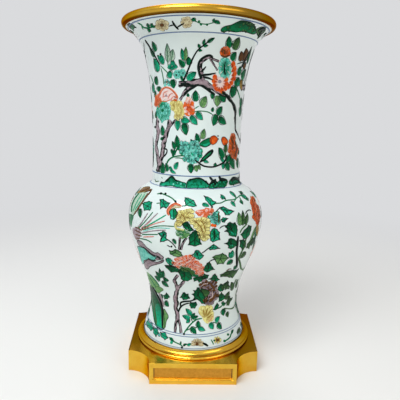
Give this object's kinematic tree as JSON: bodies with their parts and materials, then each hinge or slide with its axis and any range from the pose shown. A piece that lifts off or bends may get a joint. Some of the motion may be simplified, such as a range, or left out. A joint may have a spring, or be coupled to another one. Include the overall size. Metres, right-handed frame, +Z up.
{
  "type": "mounted yen yen vase",
  "caption": "Tall porcelain vase with trumpet neck, baluster body and spreading foot, enamelled with flowers, in a gilt-bronze rim collar, foot collar and square plinth.",
  "frame": {"origin": "on the table under the vase's axis, at the centre of the plinth's underside", "axes": "+Z up along the vase's axis, plinth front towards -Y, +X to the right seen from the front"},
  "size_m": [0.2154, 0.2154, 0.4999],
  "materials": {
    "porcelain": "glossy white glaze with overglaze enamels",
    "gilt_bronze": "fire-gilt, burnished, with matted panels",
    "plaster": "matt",
    "leather": "matt",
    "brass": "turned",
    "steel": "plain"
  },
  "bodies": {
    "root": {"porcelain_vase": "porcelain", "rim_collar": "gilt_bronze", "rim_bedding": "plaster", "foot_collar": "gilt_bronze", "collar_screws": "steel", "plinth": "gilt_bronze", "foot_washer": "leather", "tie_rod": "steel", "inner_cushion": "leather", "clamp_plate": "brass", "upper_nut": "brass", "lower_washer": "steel", "lower_nut": "brass"}
  },
  "joints": []
}
